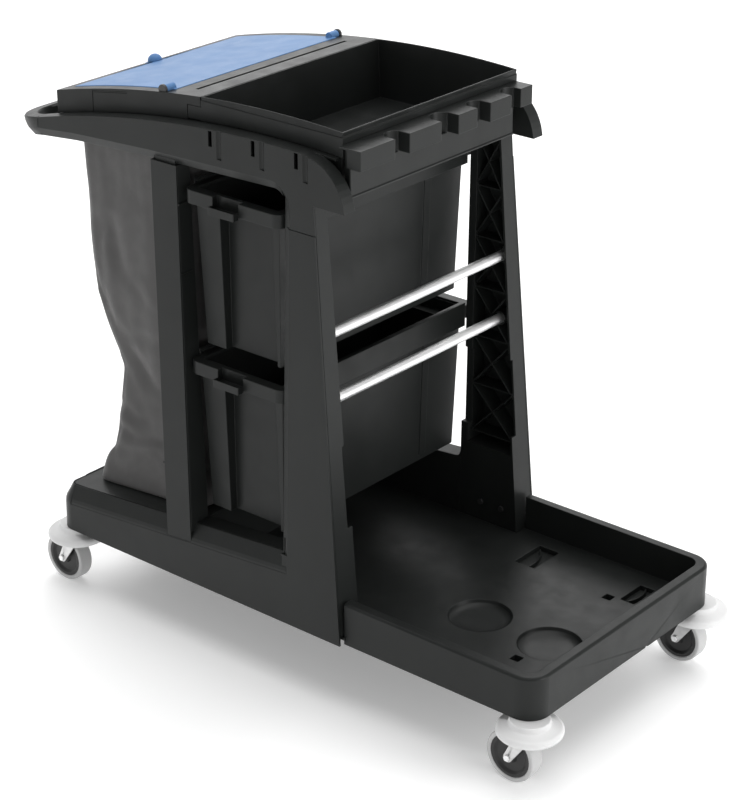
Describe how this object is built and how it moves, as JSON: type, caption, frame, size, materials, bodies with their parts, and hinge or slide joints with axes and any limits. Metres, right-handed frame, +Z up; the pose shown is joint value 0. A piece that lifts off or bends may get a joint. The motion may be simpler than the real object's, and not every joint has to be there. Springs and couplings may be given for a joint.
{
  "type": "housekeeping cart",
  "caption": "Housekeeping and janitorial cart with drawers on both sides, a waste bag under a hinged lid, a top tray with tool seats, a bucket platform and swivel castors.",
  "frame": {"origin": "on the floor, at the centre of the overall bounding box", "axes": "+X towards the bucket platform, -X is the push handle and bag end; +Y is one long side; +Z up"},
  "size_m": [1.3009, 0.643, 1.083],
  "materials": {
    "body_plastic": "matt moulded polypropylene, very fine grain",
    "lid_plastic": "satin moulded lid, light blue",
    "bag_fabric": "coated woven nylon bag",
    "bright_steel": "zinc plated tube, rod and wire",
    "zinc_fork": "zinc plated pressed sheet",
    "bumper_plastic": "light grey soft moulded bumper",
    "wheel_core": "moulded nylon wheel centre",
    "tyre_rubber": "grey non-marking tread",
    "bolt_steel": "black coated bolts",
    "hinge_blue": "moulded hinge pin"
  },
  "bodies": {
    "cart": {"base_deck": "body_plastic", "side_panel_near": "body_plastic", "side_panel_far": "body_plastic", "rear_skirt": "body_plastic", "top_frame": "body_plastic", "lid_frame": "body_plastic", "top_tray": "body_plastic", "tool_rail": "body_plastic", "runners_upper": "body_plastic", "runners_lower": "body_plastic", "rod_upper": "bright_steel", "rod_lower": "bright_steel", "bag": "bag_fabric", "bag_ring": "bright_steel", "panel_bolts": "bolt_steel", "frame_bolts": "bolt_steel", "hinge_pins": "hinge_blue", "bumper_1": "bumper_plastic", "bumper_2": "bumper_plastic", "bumper_3": "bumper_plastic", "bumper_4": "bumper_plastic"},
    "lid": {"lid_panel": "lid_plastic", "lid_grip": "lid_plastic"},
    "drawer_upper": {"drawer_upper": "body_plastic", "drawer_upper_pulls": "body_plastic"},
    "drawer_lower": {"drawer_lower": "body_plastic", "drawer_lower_pulls": "body_plastic"},
    "castor_1": {"fork_1": "zinc_fork", "axle_1": "bright_steel"},
    "wheel_1": {"hub_1": "wheel_core", "tyre_1": "tyre_rubber"},
    "castor_2": {"fork_2": "zinc_fork", "axle_2": "bright_steel"},
    "wheel_2": {"hub_2": "wheel_core", "tyre_2": "tyre_rubber"},
    "castor_3": {"fork_3": "zinc_fork", "axle_3": "bright_steel"},
    "wheel_3": {"hub_3": "wheel_core", "tyre_3": "tyre_rubber"},
    "castor_4": {"fork_4": "zinc_fork", "axle_4": "bright_steel"},
    "wheel_4": {"hub_4": "wheel_core", "tyre_4": "tyre_rubber"}
  },
  "joints": [
    {"name": "lid_hinge", "type": "hinge", "parent": "cart", "child": "lid", "pos_m": [-0.264, 0, 1.069], "axis": [0, 1, 0], "range_deg": [0, 100]},
    {"name": "upper_drawer_slide", "type": "slide", "parent": "cart", "child": "drawer_upper", "axis": [0, 1, 0], "range_m": [-0.38, 0.38]},
    {"name": "lower_drawer_slide", "type": "slide", "parent": "cart", "child": "drawer_lower", "axis": [0, 1, 0], "range_m": [-0.38, 0.38]},
    {"name": "castor_swivel_1", "type": "hinge", "parent": "cart", "child": "castor_1", "pos_m": [0.59, -0.2615, 0.11], "axis": [0, 0, 1], "continuous": true},
    {"name": "castor_swivel_2", "type": "hinge", "parent": "cart", "child": "castor_2", "pos_m": [0.59, 0.2615, 0.11], "axis": [0, 0, 1], "continuous": true},
    {"name": "castor_swivel_3", "type": "hinge", "parent": "cart", "child": "castor_3", "pos_m": [-0.5257, -0.2615, 0.11], "axis": [0, 0, 1], "continuous": true},
    {"name": "castor_swivel_4", "type": "hinge", "parent": "cart", "child": "castor_4", "pos_m": [-0.5257, 0.2615, 0.11], "axis": [0, 0, 1], "continuous": true},
    {"name": "wheel_spin_1", "type": "hinge", "parent": "castor_1", "child": "wheel_1", "pos_m": [0.559, -0.2615, 0.05], "axis": [0, 1, 0], "continuous": true},
    {"name": "wheel_spin_2", "type": "hinge", "parent": "castor_2", "child": "wheel_2", "pos_m": [0.559, 0.2615, 0.05], "axis": [0, 1, 0], "continuous": true},
    {"name": "wheel_spin_3", "type": "hinge", "parent": "castor_3", "child": "wheel_3", "pos_m": [-0.5567, -0.2615, 0.05], "axis": [0, 1, 0], "continuous": true},
    {"name": "wheel_spin_4", "type": "hinge", "parent": "castor_4", "child": "wheel_4", "pos_m": [-0.5567, 0.2615, 0.05], "axis": [0, 1, 0], "continuous": true}
  ]
}
